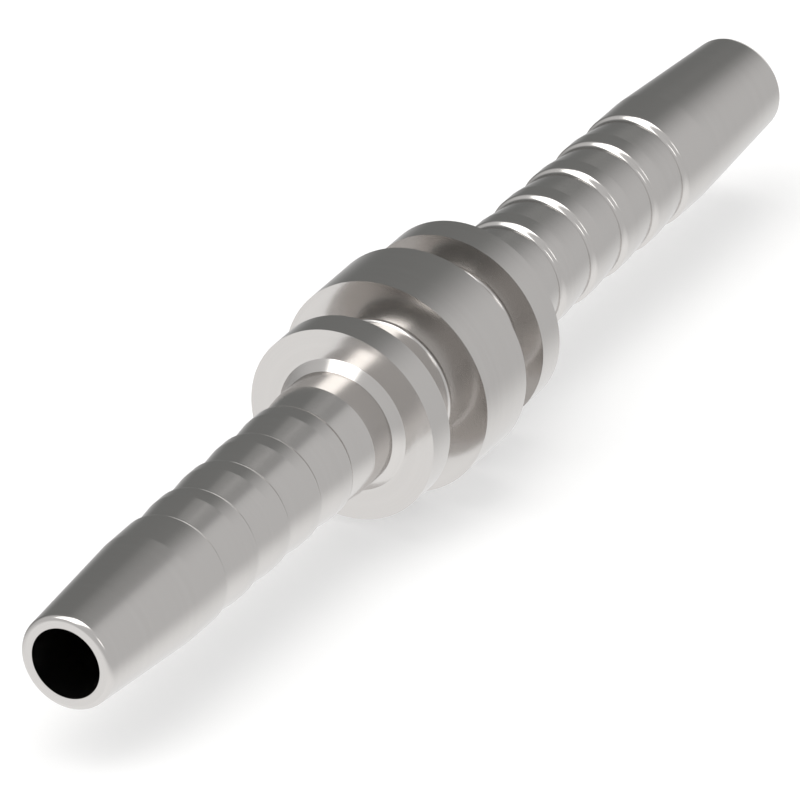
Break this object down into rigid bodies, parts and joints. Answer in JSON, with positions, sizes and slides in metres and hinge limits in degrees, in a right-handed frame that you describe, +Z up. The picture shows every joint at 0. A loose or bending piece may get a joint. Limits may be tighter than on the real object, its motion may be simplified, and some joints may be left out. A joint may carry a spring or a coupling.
{
  "type": "straight hose nipple",
  "caption": "Straight turned hose nipple: a barbed hose tail at either end, collars and ferrule grooves in the middle, and a bore right through.",
  "frame": {"origin": "middle of the bore, halfway between the two end faces, which is also the middle of the part's box", "axes": "X along the bore, Z up; the part lies on its middle collar with the bore level, and the two tails are alike, so +X may be either"},
  "size_m": [0.069, 0.012, 0.012],
  "materials": {
    "steel": "turned, with fine rings from the tool"
  },
  "bodies": {
    "root": {"nipple_body": "steel"}
  },
  "joints": []
}
